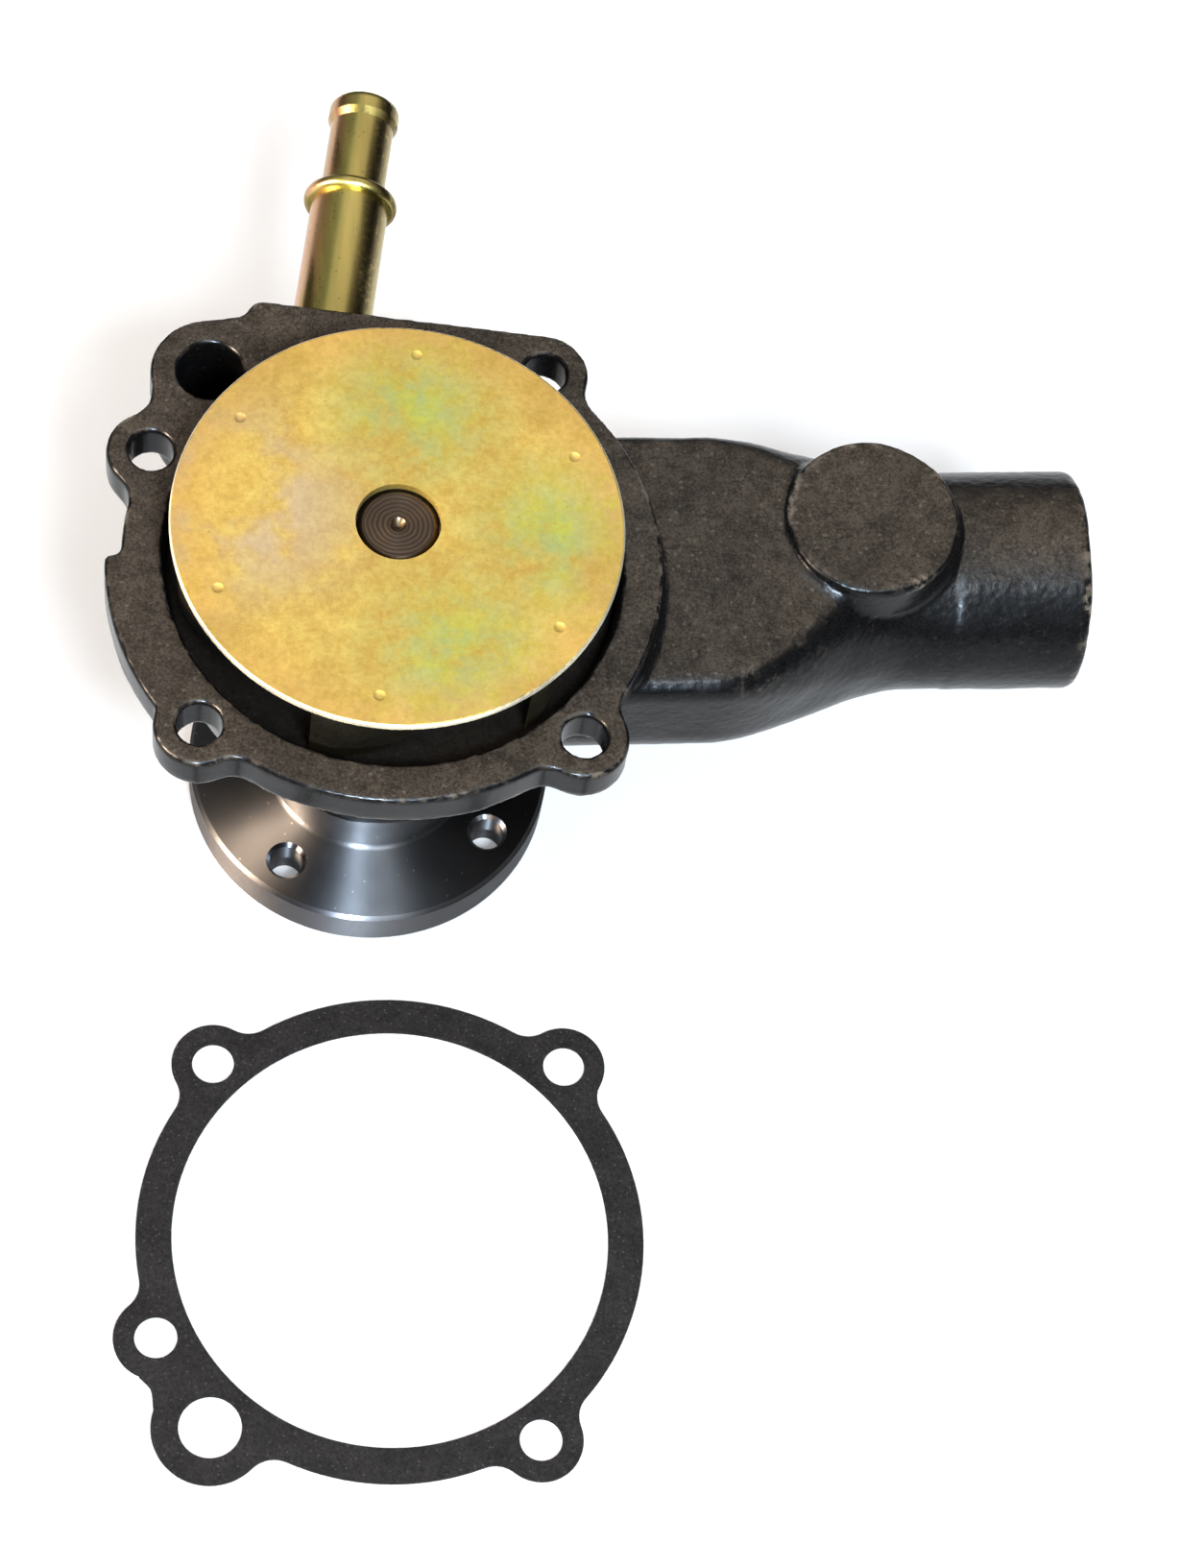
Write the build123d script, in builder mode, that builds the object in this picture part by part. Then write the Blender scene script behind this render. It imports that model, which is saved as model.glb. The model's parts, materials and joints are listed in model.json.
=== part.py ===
from build123d import *
import os
from math import acos, cos, degrees, radians, sin

os.makedirs("parts", exist_ok=True)

# Automotive water pump, in millimetres.
# Origin: centre of the pulley hub's outer face, on the shaft axis.
# +Z runs along the shaft towards the engine block, +X along the inlet arm,
# +Y towards the heater nipple.

# ---- Driving dimensions: housing flange ----
BLOCK_FACE_Z = 97.4
FLANGE_T = 9.4
FLANGE_Z = BLOCK_FACE_Z - FLANGE_T
FLANGE_R = 52.0
BOLT_CIRCLE_R = 51.7
BOLT_ANGLES = (152.3, 52.3, -137.5, -48.7)
BOLT_HOLE_R = 4.35
EAR_R = 8.7
PORT_AT = (-33.9, 41.8)
PORT_R = 6.4
PORT_EAR_R = 11.7
PORT_DEPTH = 21.0
PORT_BOSS_R = 10.6
PORT_BOSS_Z = 70.0
PASSAGE_R = 4.2
PASSAGE_Z = 81.0
EAR_BRIDGE = ((-45.2, 39.0), (-45.9, 34.6), (-48.5, 32.3))
EAR_FILLET = 6.0
LUG_R = 54.9
LUG_AT = (-0.3, -1.2)
LUG_START = 177.5
LUG_END = 216.0
NECK_Z = 46.0
SHOULDER_R = 34.5
SHOULDER_Z = 57.0
BOWL_LOW_R = 42.0
BOWL_LOW_Z = 70.0
BOWL_TOP_R = 45.5
NECK_FILLET = 8.0
BOWL_FILLET = 10.0
CAVITY_R = 44.2
CAVITY_LIP = 2.0
WEAR_BORE_R = 43.7
WEAR_FACE_Z = 90.0
CHAMBER_R = 38.0
CHAMBER_SLOPE_Z = 74.0
CHAMBER_FLOOR_Z = 67.0
CHAMBER_FLOOR_R = 31.0
CHAMBER_ROOF_Z = 83.0
BOLT_CLEAR_Z = 60.0
EYE_R = 31.0
EYE_LIP = 3.0
CUT_OVER = 1.0
EAR_CORNER = 3.0
STEP_CORNER = 2.0

# ---- Heater nipple and its pad ----
NIPPLE_LEAN = 10.0
NIPPLE_Z = 80.0
NIPPLE_OFFSET = -19.5
PAD_STEP_FOOT = (-27.2, 54.4)
PAD_STEP_TOP = (-24.6, 58.0)
NIPPLE_BOSS_R = 12.6
NIPPLE_BOSS_DEPTH = 22.0
NIPPLE_R = 7.94
NIPPLE_BORE_R = 5.3
NIPPLE_PASSAGE_R = 4.7
NIPPLE_INSERT = 9.0
NIPPLE_COLLAR_AT = 34.0
NIPPLE_COLLAR_R = 9.6
NIPPLE_COLLAR_W = 2.6
NIPPLE_TIP_R = 6.5
NIPPLE_BEAD_R = 7.25
NIPPLE_BEAD_AT = 55.2
NIPPLE_BEAD_RISE = 1.5
NIPPLE_COLLAR_ROUND = 1.2
NIPPLE_TIP_ROUND = 1.9
NIPPLE_LENGTH = 59.4

# ---- Inlet arm and pipe ----
PIPE_Y = 12.9
PIPE_Z = 61.0
PIPE_R = 22.2
PIPE_BORE_R = 18.0
ARM_END_X = 108.0
PIPE_START_X = 114.2
PIPE_END_X = 141.4
PIPE_CHAMFER = 0.7
PIPE_STEP = 0.25
ARM_WALL = 4.4
ARM_ROOT_X = 26.0
ARM_STRAIGHT_X = 62.0
ARM_NEAR_Y = -25.0
ARM_FAR_Y = 33.5
ARM_LOW_Z = 54.0
ARM_LOW_ROUND = 14.0
ARM_TOP_ROUND = 4.6
ARM_MIN_ROUND = 1.5
ARM_FLAT = 0.05
ARM_STEPS = 6
DUCT_START_X = 31.0
BOSS_X = 96.3
BOSS_R = 17.4
BOSS_TOP_Z = 88.5

# ---- Shaft, bearing and hub ----
SHAFT_R = 7.94
SHAFT_LOW_Z = 0.4
SHAFT_TOP_Z = 109.8
SHAFT_CHAMFER = 1.1
CENTRE_DRILL_R = 1.6
HUB_R = 37.8
HUB_RIM_T = 10.2
HUB_NECK_R = 21.0
HUB_NECK_FILLET = 1.2
HUB_TOP_Z = 24.0
HUB_EDGE = 0.8
HUB_HOLE_PCD = 60.3
HUB_HOLE_R = 3.45
HUB_HOLE_SINK_R = 4.2
HUB_HOLE_START = 52.5
HUB_HOLE_COUNT = 4
BEARING_R = 19.05
BEARING_BORE_R = 15.2
BEARING_LOW_Z = 28.0
BEARING_TOP_Z = 66.0
RACE_CHAMFER = 0.8
BALL_R = 4.365
BALL_PITCH_R = 11.7
BALL_COUNT = 7
BALL_CLEARANCE = 0.1
FRONT_ROW_Z = 38.5
REAR_ROW_Z = 55.5
ROWS = (FRONT_ROW_Z, REAR_ROW_Z)
CAGE_IN_R = 10.2
CAGE_OUT_R = 13.2
CAGE_HALF_W = 5.8
CAGE_POCKET_LENGTH = 9.0
GREASE_SEAL_T = 2.4
GREASE_SEAL_SET = 0.6
RUNNING_FIT = 0.06
SNOUT_R = 24.6
SNOUT_LOW_Z = 27.6

# ---- Shaft seal ----
WEEP_TOP_Z = 71.0
WEEP_R = 14.0
WEEP_HOLE_R = 2.4
WEEP_RIB_R = 5.4
WEEP_RIB_START = 20.3
SEAL_BORE_R = 18.3
SEAL_BOSS_R = 23.4
SEAL_BOSS_Z = 79.0
CUP_WALL = 1.0
CUP_LIP_R = 22.0
SEAL_FACE_Z = 87.2
CARBON_LOW_Z = 84.0
CARBON_IN_R = 9.8
CARBON_OUT_R = 14.0
CARBON_CHAMFER = 0.4
RETAINER_LOW_Z = 82.8
RETAINER_IN_R = 11.8
RETAINER_OUT_R = 16.6
RETAINER_WALL = 0.8
RETAINER_GRIP = 1.6
BELLOWS_IN_R = 9.2
BELLOWS_OUT_R = 11.4
BELLOWS_FOOT_T = 1.0
BELLOWS_FOLD = 1.4
BELLOWS_FOLD_W = 2.4
SPRING_R = 14.3
SPRING_WIRE_R = 0.9
SPRING_TURNS = 3.5
MATING_T = 4.0
MATING_IN_R = 9.3
MATING_OUT_R = 16.2
BOOT_T = 1.4
BOOT_SET = 1.0
SLINGER_LOW_Z = 67.2
SLINGER_T = 2.4
SLINGER_R = 12.4
SLINGER_EDGE = 0.8

# ---- Impeller ----
DISC_TOP_Z = 111.0
DISC_T = 1.8
DISC_R = 43.1
DISC_HOLE_R = 8.15
DISC_EDGE = 0.5
VANE_T = 1.6
VANE_LOW_Z = 91.2
VANE_IN_R = 20.0
VANE_OUT_R = 41.6
VANE_COUNT = 6
VANE_TURN = 8.0
WELD_AT_R = 37.0
WELD_TURN = 21.8
WELD_DENT_R = 2.6
WELD_DENT = 0.25
VANE_SWEEP = 62.0
VANE_BOW = 0.42
VANE_TAB_W = 7.0
SPIDER_R = 23.0
IMPELLER_HUB_R = 13.0
IMPELLER_CUP_R = 19.0
IMPELLER_CUP_T = 4.0

# ---- Block gasket, lying loose in front of the pump ----
GASKET_AT = (0.3, -103.3)
GASKET_TURN = -5.2
GASKET_T = 0.8
GASKET_IN_R = 44.2
GASKET_OUT_R = 51.4
GASKET_EAR_R = 8.5
GASKET_PORT_CORNER = 116.5
GASKET_HOLE_R = 4.3
GASKET_PORT_R = 6.3


def polar(radius, angle):
    """Point at a radius and an angle in degrees."""
    return (radius * cos(radians(angle)), radius * sin(radians(angle)))


BOLTS = [polar(BOLT_CIRCLE_R, angle) for angle in BOLT_ANGLES]
EAR_B, EAR_C, EAR_D, EAR_E = BOLTS

# Ear edges that meet the plain ring: bolt number and the side of it (+1 is anticlockwise).
FREE_EAR_SIDES = ((0, 1), (1, -1), (2, 1), (3, -1), (3, 1))

# The heater nipple's axis is square to the pad's outer face.
PAD_OUT = Vector(sin(radians(NIPPLE_LEAN)), cos(radians(NIPPLE_LEAN)), 0)
PAD_ALONG = Vector(cos(radians(NIPPLE_LEAN)), -sin(radians(NIPPLE_LEAN)), 0)
PAD_DISTANCE = Vector(*EAR_C).dot(PAD_OUT) + EAR_R
NIPPLE_ROOT = PAD_OUT * PAD_DISTANCE + PAD_ALONG * NIPPLE_OFFSET + Vector(0, 0, NIPPLE_Z)
NIPPLE_PLANE = Plane(origin=NIPPLE_ROOT, x_dir=(0, 0, 1), z_dir=PAD_OUT)
PAD_RIGHT = PAD_OUT * PAD_DISTANCE + PAD_ALONG * (Vector(*EAR_C).dot(PAD_ALONG))


WEEP_Z = (BEARING_TOP_Z + WEEP_TOP_Z) / 2

# The cross passage runs from the coolant port straight to the chamber round the shaft.
PORT_DISTANCE = Vector(*PORT_AT).length
PORT_PLANE = Plane(
    origin=(PORT_AT[0], PORT_AT[1], PASSAGE_Z),
    x_dir=(0, 0, 1),
    z_dir=(-PORT_AT[0], -PORT_AT[1], 0),
)
PASSAGE_LENGTH = PORT_DISTANCE - CHAMBER_R + CUT_OVER


def corner(sketch, near, radius):
    """Round the sketch's corner nearest a point."""
    fillet(sketch.vertices().sort_by_distance((near[0], near[1], 0))[0], radius=radius)


def ear_corner(angle, side, ring_r, ear_r):
    """Point where a bolt ear's edge meets the ring's, ahead of (+1) or behind (-1) the bolt."""
    cosine = (ring_r**2 + BOLT_CIRCLE_R**2 - ear_r**2) / (2 * ring_r * BOLT_CIRCLE_R)
    return polar(ring_r, angle + side * degrees(acos(cosine)))


# ---- Pump housing: flange, bowl, snout, inlet arm, boss and pads, one casting ----
ARM_PIPE_R = PIPE_R - PIPE_STEP
ARM_PIPE_ROUND = ARM_PIPE_R - ARM_FLAT


def blend(start, end, share):
    """Value a share of the way from start to end, eased at both ends."""
    eased = share * share * (3 - 2 * share)
    return start + (end - start) * eased


def arm_section(share, inset=0.0):
    """Section of the inlet arm, from its box root (0) to its round pipe (1), less a wall."""
    near = blend(ARM_NEAR_Y, PIPE_Y - ARM_PIPE_R, share) + inset
    far = blend(ARM_FAR_Y, PIPE_Y + ARM_PIPE_R, share) - inset
    low = blend(ARM_LOW_Z, PIPE_Z - ARM_PIPE_R, share) + inset
    top = blend(FLANGE_Z, PIPE_Z + ARM_PIPE_R, share) - inset
    low_round = blend(ARM_LOW_ROUND, ARM_PIPE_ROUND, share) - inset
    top_round = max(blend(ARM_TOP_ROUND, ARM_PIPE_ROUND, share) - inset, ARM_MIN_ROUND)
    x = ARM_STRAIGHT_X + (ARM_END_X - ARM_STRAIGHT_X) * share
    with BuildSketch(Plane.YZ.offset(x)) as section:
        with BuildLine():
            Polyline((near, low), (far, low), (far, top), (near, top), close=True)
        make_face()
        fillet(section.vertices().group_by(Axis.Y)[0], radius=low_round)
        fillet(section.vertices().group_by(Axis.Y)[-1], radius=top_round)
    return section.sketch


def arm_blend(inset=0.0):
    """Sections from the arm's root to its pipe."""
    return [arm_section(step / ARM_STEPS, inset) for step in range(ARM_STEPS + 1)]


with BuildPart() as housing:
    # Snout and bowl.
    with BuildSketch(Plane.XZ) as bowl:
        with BuildLine():
            Polyline(
                (0, SNOUT_LOW_Z),
                (SNOUT_R, SNOUT_LOW_Z),
                (SNOUT_R, NECK_Z),
                (SHOULDER_R, SHOULDER_Z),
                (BOWL_LOW_R, BOWL_LOW_Z),
                (BOWL_TOP_R, FLANGE_Z),
                (0, FLANGE_Z),
                close=True,
            )
        make_face()
        corner(bowl, (SNOUT_R, NECK_Z), NECK_FILLET)
        corner(bowl, (BOWL_LOW_R, BOWL_LOW_Z), BOWL_FILLET)
    revolve(axis=Axis.Z)

    # Flange, with its bolt ears, port ear, nipple pad and side lug.
    with BuildSketch(Plane.XY.offset(FLANGE_Z)) as flange:
        Circle(FLANGE_R)
        with Locations(*BOLTS):
            Circle(EAR_R)
        with Locations(PORT_AT):
            Circle(PORT_EAR_R)
        with BuildLine():
            Polyline(
                (0, 0),
                EAR_B,
                *reversed(EAR_BRIDGE),
                PORT_AT,
                (PORT_AT[0], PORT_AT[1] + PORT_EAR_R),
                PAD_STEP_FOOT,
                PAD_STEP_TOP,
                (PAD_RIGHT.X, PAD_RIGHT.Y),
                EAR_C,
                close=True,
            )
        make_face()
        with BuildLine():
            lug = CenterArc(LUG_AT, LUG_R, LUG_START, LUG_END - LUG_START)
            Polyline(lug @ 1, (0, 0), lug @ 0)
        make_face()
        corner(flange, EAR_BRIDGE[1], EAR_CORNER)
        corner(flange, PAD_STEP_FOOT, STEP_CORNER)
        corner(flange, PAD_STEP_TOP, STEP_CORNER)
        corner(flange, polar(FLANGE_R, LUG_START), STEP_CORNER)
        for bolt, side in FREE_EAR_SIDES:
            near = ear_corner(BOLT_ANGLES[bolt], side, FLANGE_R, EAR_R)
            corner(flange, near, EAR_FILLET)
    extrude(amount=FLANGE_T)

    # Boss under the coolant port.
    with BuildSketch(Plane.XY.offset(PORT_BOSS_Z)):
        with Locations(PORT_AT):
            Circle(PORT_BOSS_R)
    extrude(until=Until.NEXT)

    # Heater nipple boss and the web that joins it to the flange.
    with BuildSketch(NIPPLE_PLANE):
        Circle(NIPPLE_BOSS_R)
        with Locations(((FLANGE_Z - NIPPLE_Z) / 2, 0)):
            Rectangle(FLANGE_Z - NIPPLE_Z, 2 * NIPPLE_BOSS_R)
    extrude(amount=-NIPPLE_BOSS_DEPTH)

    # Inlet arm: a straight box root, a blend and the round hose pipe.
    extrude(arm_section(0), amount=ARM_ROOT_X - ARM_STRAIGHT_X)
    loft(arm_blend())
    extrude(arm_section(1), amount=PIPE_START_X - ARM_END_X)
    with BuildSketch(Plane.YZ.offset(PIPE_START_X)):
        with Locations((PIPE_Y, PIPE_Z)):
            Circle(PIPE_R)
    extrude(amount=PIPE_END_X - PIPE_START_X)
    chamfer(housing.edges().filter_by(GeomType.CIRCLE).sort_by(Axis.X)[-1], length=PIPE_CHAMFER)

    # Blind boss on the arm.
    with BuildSketch(Plane.XY.offset(PIPE_Z + PIPE_BORE_R)):
        with Locations((BOSS_X, PIPE_Y)):
            Circle(BOSS_R)
    extrude(amount=BOSS_TOP_Z - PIPE_Z - PIPE_BORE_R)

    # Cavity, wear face, suction eye and chamber around the seal boss.
    with BuildSketch(Plane.XZ):
        with BuildLine():
            Polyline(
                (SEAL_BOSS_R, BLOCK_FACE_Z + CUT_OVER),
                (CAVITY_R, BLOCK_FACE_Z + CUT_OVER),
                (CAVITY_R, BLOCK_FACE_Z - CAVITY_LIP),
                (WEAR_BORE_R, BLOCK_FACE_Z - CAVITY_LIP),
                (WEAR_BORE_R, WEAR_FACE_Z),
                (EYE_R, WEAR_FACE_Z),
                (EYE_R, WEAR_FACE_Z - EYE_LIP),
                (CHAMBER_R, CHAMBER_ROOF_Z),
                (CHAMBER_R, CHAMBER_SLOPE_Z),
                (CHAMBER_FLOOR_R, CHAMBER_FLOOR_Z),
                (SEAL_BOSS_R, CHAMBER_FLOOR_Z),
                close=True,
            )
        make_face()
    revolve(axis=Axis.Z, mode=Mode.SUBTRACT)
    # Seal bore, drain cavity and bearing bore through the middle.
    with BuildSketch(Plane.XZ):
        with BuildLine():
            Polyline(
                (0, SNOUT_LOW_Z - CUT_OVER),
                (BEARING_R, SNOUT_LOW_Z - CUT_OVER),
                (BEARING_R, BEARING_TOP_Z),
                (WEEP_R, BEARING_TOP_Z),
                (WEEP_R, WEEP_TOP_Z),
                (SEAL_BORE_R, WEEP_TOP_Z),
                (SEAL_BORE_R, SEAL_BOSS_Z),
                (SEAL_BOSS_R + CUT_OVER, SEAL_BOSS_Z),
                (SEAL_BOSS_R + CUT_OVER, BLOCK_FACE_Z + CUT_OVER),
                (0, BLOCK_FACE_Z + CUT_OVER),
                close=True,
            )
        make_face()
    revolve(axis=Axis.Z, mode=Mode.SUBTRACT)
    # Rib that carries the weep hole across the chamber floor.
    with BuildSketch(Plane.XZ.offset(WEEP_RIB_START)):
        with Locations((0, WEEP_Z)):
            Circle(WEEP_RIB_R)
    extrude(amount=CHAMBER_R - SEAL_BORE_R)

    # Duct inside the arm.
    duct_root = arm_section(0, ARM_WALL)
    extrude(duct_root, amount=DUCT_START_X - ARM_STRAIGHT_X, mode=Mode.SUBTRACT)
    loft(arm_blend(ARM_WALL), mode=Mode.SUBTRACT)
    with BuildSketch(Plane.YZ.offset(ARM_END_X)):
        with Locations((PIPE_Y, PIPE_Z)):
            Circle(PIPE_BORE_R)
    extrude(amount=PIPE_END_X - ARM_END_X, mode=Mode.SUBTRACT)

    # Bolt holes, coolant port and its cross passage, weep hole, nipple hole.
    with Locations(*[(x, y, BLOCK_FACE_Z) for x, y in BOLTS]):
        Hole(BOLT_HOLE_R, depth=BLOCK_FACE_Z - BOLT_CLEAR_Z)
    with Locations((PORT_AT[0], PORT_AT[1], BLOCK_FACE_Z)):
        Hole(PORT_R, depth=PORT_DEPTH)
    with BuildSketch(PORT_PLANE):
        Circle(PASSAGE_R)
    extrude(amount=PASSAGE_LENGTH, mode=Mode.SUBTRACT)
    with BuildSketch(Plane.XZ.offset(WEEP_R - CUT_OVER)):
        with Locations((0, WEEP_Z)):
            Circle(WEEP_HOLE_R)
    extrude(amount=FLANGE_R - WEEP_R, mode=Mode.SUBTRACT)
    with BuildSketch(NIPPLE_PLANE):
        Circle(NIPPLE_R)
    extrude(amount=-NIPPLE_INSERT, mode=Mode.SUBTRACT)
    with BuildSketch(NIPPLE_PLANE):
        Circle(NIPPLE_PASSAGE_R)
    extrude(amount=-NIPPLE_BOSS_DEPTH, mode=Mode.SUBTRACT)

housing.part.label = "pump_housing"
export_step(housing.part, "parts/pump_housing.step")

# ---- Pulley hub ----
with BuildPart() as hub:
    with BuildSketch(Plane.XZ):
        with BuildLine():
            Polyline(
                (SHAFT_R, 0),
                (HUB_R, 0),
                (HUB_R, HUB_RIM_T),
                (HUB_NECK_R, HUB_RIM_T),
                (HUB_NECK_R, HUB_TOP_Z),
                (SHAFT_R, HUB_TOP_Z),
                close=True,
            )
        make_face()
    revolve(axis=Axis.Z)
    rim_edges = hub.edges().filter_by(GeomType.CIRCLE).sort_by(SortBy.RADIUS)[-2:]
    chamfer(rim_edges, length=HUB_EDGE)
    neck_edges = hub.edges().filter_by(
        lambda edge: edge.geom_type == GeomType.CIRCLE and abs(edge.radius - HUB_NECK_R) < 0.01
    )
    fillet(neck_edges.sort_by(Axis.Z)[0], radius=HUB_NECK_FILLET)
    chamfer(neck_edges.sort_by(Axis.Z)[-1], length=HUB_EDGE)
    with Locations(Plane.XY.offset(HUB_RIM_T)):
        with PolarLocations(HUB_HOLE_PCD / 2, HUB_HOLE_COUNT, start_angle=HUB_HOLE_START):
            CounterSinkHole(HUB_HOLE_R, HUB_HOLE_SINK_R, depth=HUB_RIM_T)
hub.part.label = "pulley_hub"
export_step(hub.part, "parts/pulley_hub.step")

# ---- Bearing shaft, with a ball groove for each row and a centre drilling at the top ----
with BuildPart() as shaft:
    with BuildSketch(Plane.XY.offset(SHAFT_LOW_Z)):
        Circle(SHAFT_R)
    extrude(amount=SHAFT_TOP_Z - SHAFT_LOW_Z)
    chamfer(shaft.edges().filter_by(GeomType.CIRCLE), length=SHAFT_CHAMFER)
    for row_z in ROWS:
        with BuildSketch(Plane.XZ):
            with Locations((BALL_PITCH_R, row_z)):
                Circle(BALL_R + BALL_CLEARANCE)
        revolve(axis=Axis.Z, mode=Mode.SUBTRACT)
    with BuildSketch(Plane.XZ):
        with BuildLine():
            Polyline(
                (0, SHAFT_TOP_Z),
                (CENTRE_DRILL_R, SHAFT_TOP_Z),
                (0, SHAFT_TOP_Z - CENTRE_DRILL_R),
                close=True,
            )
        make_face()
    revolve(axis=Axis.Z, mode=Mode.SUBTRACT)
shaft.part.label = "bearing_shaft"
export_step(shaft.part, "parts/bearing_shaft.step")

# ---- Bearing: outer race, two rows of balls in their cages, two grease seals ----
with BuildPart() as race:
    with BuildSketch(Plane.XY.offset(BEARING_LOW_Z)):
        Circle(BEARING_R)
        Circle(BEARING_BORE_R, mode=Mode.SUBTRACT)
    extrude(amount=BEARING_TOP_Z - BEARING_LOW_Z)
    race_edges = race.edges().filter_by(GeomType.CIRCLE).sort_by(SortBy.RADIUS)[-2:]
    chamfer(race_edges, length=RACE_CHAMFER)
    for row_z in ROWS:
        with BuildSketch(Plane.XZ):
            with Locations((BALL_PITCH_R, row_z)):
                Circle(BALL_R + BALL_CLEARANCE)
        revolve(axis=Axis.Z, mode=Mode.SUBTRACT)
race.part.label = "bearing_outer_race"
export_step(race.part, "parts/bearing_outer_race.step")

for row, row_z in (("front", FRONT_ROW_Z), ("rear", REAR_ROW_Z)):
    with BuildPart() as balls:
        with Locations(Plane.XY.offset(row_z)):
            with PolarLocations(BALL_PITCH_R, BALL_COUNT):
                Sphere(BALL_R)
    balls.part.label = f"{row}_bearing_balls"
    export_step(balls.part, f"parts/{row}_bearing_balls.step")

    with BuildPart() as cage:
        with BuildSketch(Plane.XY.offset(row_z - CAGE_HALF_W)):
            Circle(CAGE_OUT_R)
            Circle(CAGE_IN_R, mode=Mode.SUBTRACT)
        extrude(amount=2 * CAGE_HALF_W)
        with Locations(Plane.XY.offset(row_z)):
            with PolarLocations(BALL_PITCH_R, BALL_COUNT):
                Cylinder(
                    BALL_R + BALL_CLEARANCE,
                    CAGE_POCKET_LENGTH,
                    rotation=(0, 90, 0),
                    mode=Mode.SUBTRACT,
                )
    cage.part.label = f"{row}_ball_cage"
    export_step(cage.part, f"parts/{row}_ball_cage.step")

for end, low_z in (
    ("front", BEARING_LOW_Z + GREASE_SEAL_SET),
    ("rear", BEARING_TOP_Z - GREASE_SEAL_SET - GREASE_SEAL_T),
):
    with BuildPart() as grease_seal:
        with BuildSketch(Plane.XY.offset(low_z)):
            Circle(BEARING_BORE_R)
            Circle(SHAFT_R + RUNNING_FIT, mode=Mode.SUBTRACT)
        extrude(amount=GREASE_SEAL_T)
    grease_seal.part.label = f"{end}_grease_seal"
    export_step(grease_seal.part, f"parts/{end}_grease_seal.step")

# ---- Slinger on the shaft, in the drain cavity ----
with BuildPart() as slinger:
    with BuildSketch(Plane.XY.offset(SLINGER_LOW_Z)):
        Circle(SLINGER_R)
        Circle(SHAFT_R, mode=Mode.SUBTRACT)
    extrude(amount=SLINGER_T)
    slinger_rim = slinger.edges().filter_by(GeomType.CIRCLE).sort_by(SortBy.RADIUS)[-2:]
    fillet(slinger_rim, radius=SLINGER_EDGE)
slinger.part.label = "shaft_slinger"
export_step(slinger.part, "parts/shaft_slinger.step")

# ---- Shaft seal: pressed cup, bellows, spring, retainer and carbon ring ----
with BuildPart() as cup:
    with BuildSketch(Plane.XZ):
        with BuildLine():
            Polyline(
                (CARBON_IN_R, WEEP_TOP_Z),
                (SEAL_BORE_R, WEEP_TOP_Z),
                (SEAL_BORE_R, SEAL_BOSS_Z),
                (CUP_LIP_R, SEAL_BOSS_Z),
                (CUP_LIP_R, SEAL_BOSS_Z + CUP_WALL),
                (SEAL_BORE_R - CUP_WALL, SEAL_BOSS_Z + CUP_WALL),
                (SEAL_BORE_R - CUP_WALL, WEEP_TOP_Z + CUP_WALL),
                (CARBON_IN_R, WEEP_TOP_Z + CUP_WALL),
                close=True,
            )
        make_face()
    revolve(axis=Axis.Z)
cup.part.label = "seal_cup"
export_step(cup.part, "parts/seal_cup.step")

BELLOWS_LOW_Z = WEEP_TOP_Z + CUP_WALL
BELLOWS_FOOT_Z = BELLOWS_LOW_Z + BELLOWS_FOOT_T
BELLOWS_MID_Z = (BELLOWS_LOW_Z + CARBON_LOW_Z) / 2
FOLD_LOW_Z = BELLOWS_MID_Z - BELLOWS_FOLD_W
FOLD_TOP_Z = BELLOWS_MID_Z + BELLOWS_FOLD_W
with BuildPart() as bellows:
    with BuildSketch(Plane.XZ):
        with BuildLine():
            Polyline(
                (BELLOWS_IN_R, BELLOWS_LOW_Z),
                (SPRING_R + SPRING_WIRE_R, BELLOWS_LOW_Z),
                (SPRING_R + SPRING_WIRE_R, BELLOWS_FOOT_Z),
                (BELLOWS_OUT_R, BELLOWS_FOOT_Z),
                (BELLOWS_OUT_R, FOLD_LOW_Z),
                (BELLOWS_OUT_R + BELLOWS_FOLD, BELLOWS_MID_Z),
                (BELLOWS_OUT_R, FOLD_TOP_Z),
                (BELLOWS_OUT_R, CARBON_LOW_Z),
                (BELLOWS_IN_R, CARBON_LOW_Z),
                (BELLOWS_IN_R, FOLD_TOP_Z),
                (BELLOWS_IN_R + BELLOWS_FOLD, BELLOWS_MID_Z),
                (BELLOWS_IN_R, FOLD_LOW_Z),
                close=True,
            )
        make_face()
    revolve(axis=Axis.Z)
bellows.part.label = "seal_bellows"
export_step(bellows.part, "parts/seal_bellows.step")

SPRING_LOW_Z = BELLOWS_FOOT_Z + SPRING_WIRE_R
SPRING_TOP_Z = RETAINER_LOW_Z - SPRING_WIRE_R
with BuildPart() as spring:
    with BuildLine():
        coil = Helix(
            pitch=(SPRING_TOP_Z - SPRING_LOW_Z) / SPRING_TURNS,
            height=SPRING_TOP_Z - SPRING_LOW_Z,
            radius=SPRING_R,
            center=(0, 0, SPRING_LOW_Z),
        )
    with BuildSketch(Plane(origin=coil @ 0, z_dir=coil % 0)):
        Circle(SPRING_WIRE_R)
    sweep()
spring.part.label = "seal_spring"
export_step(spring.part, "parts/seal_spring.step")

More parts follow.
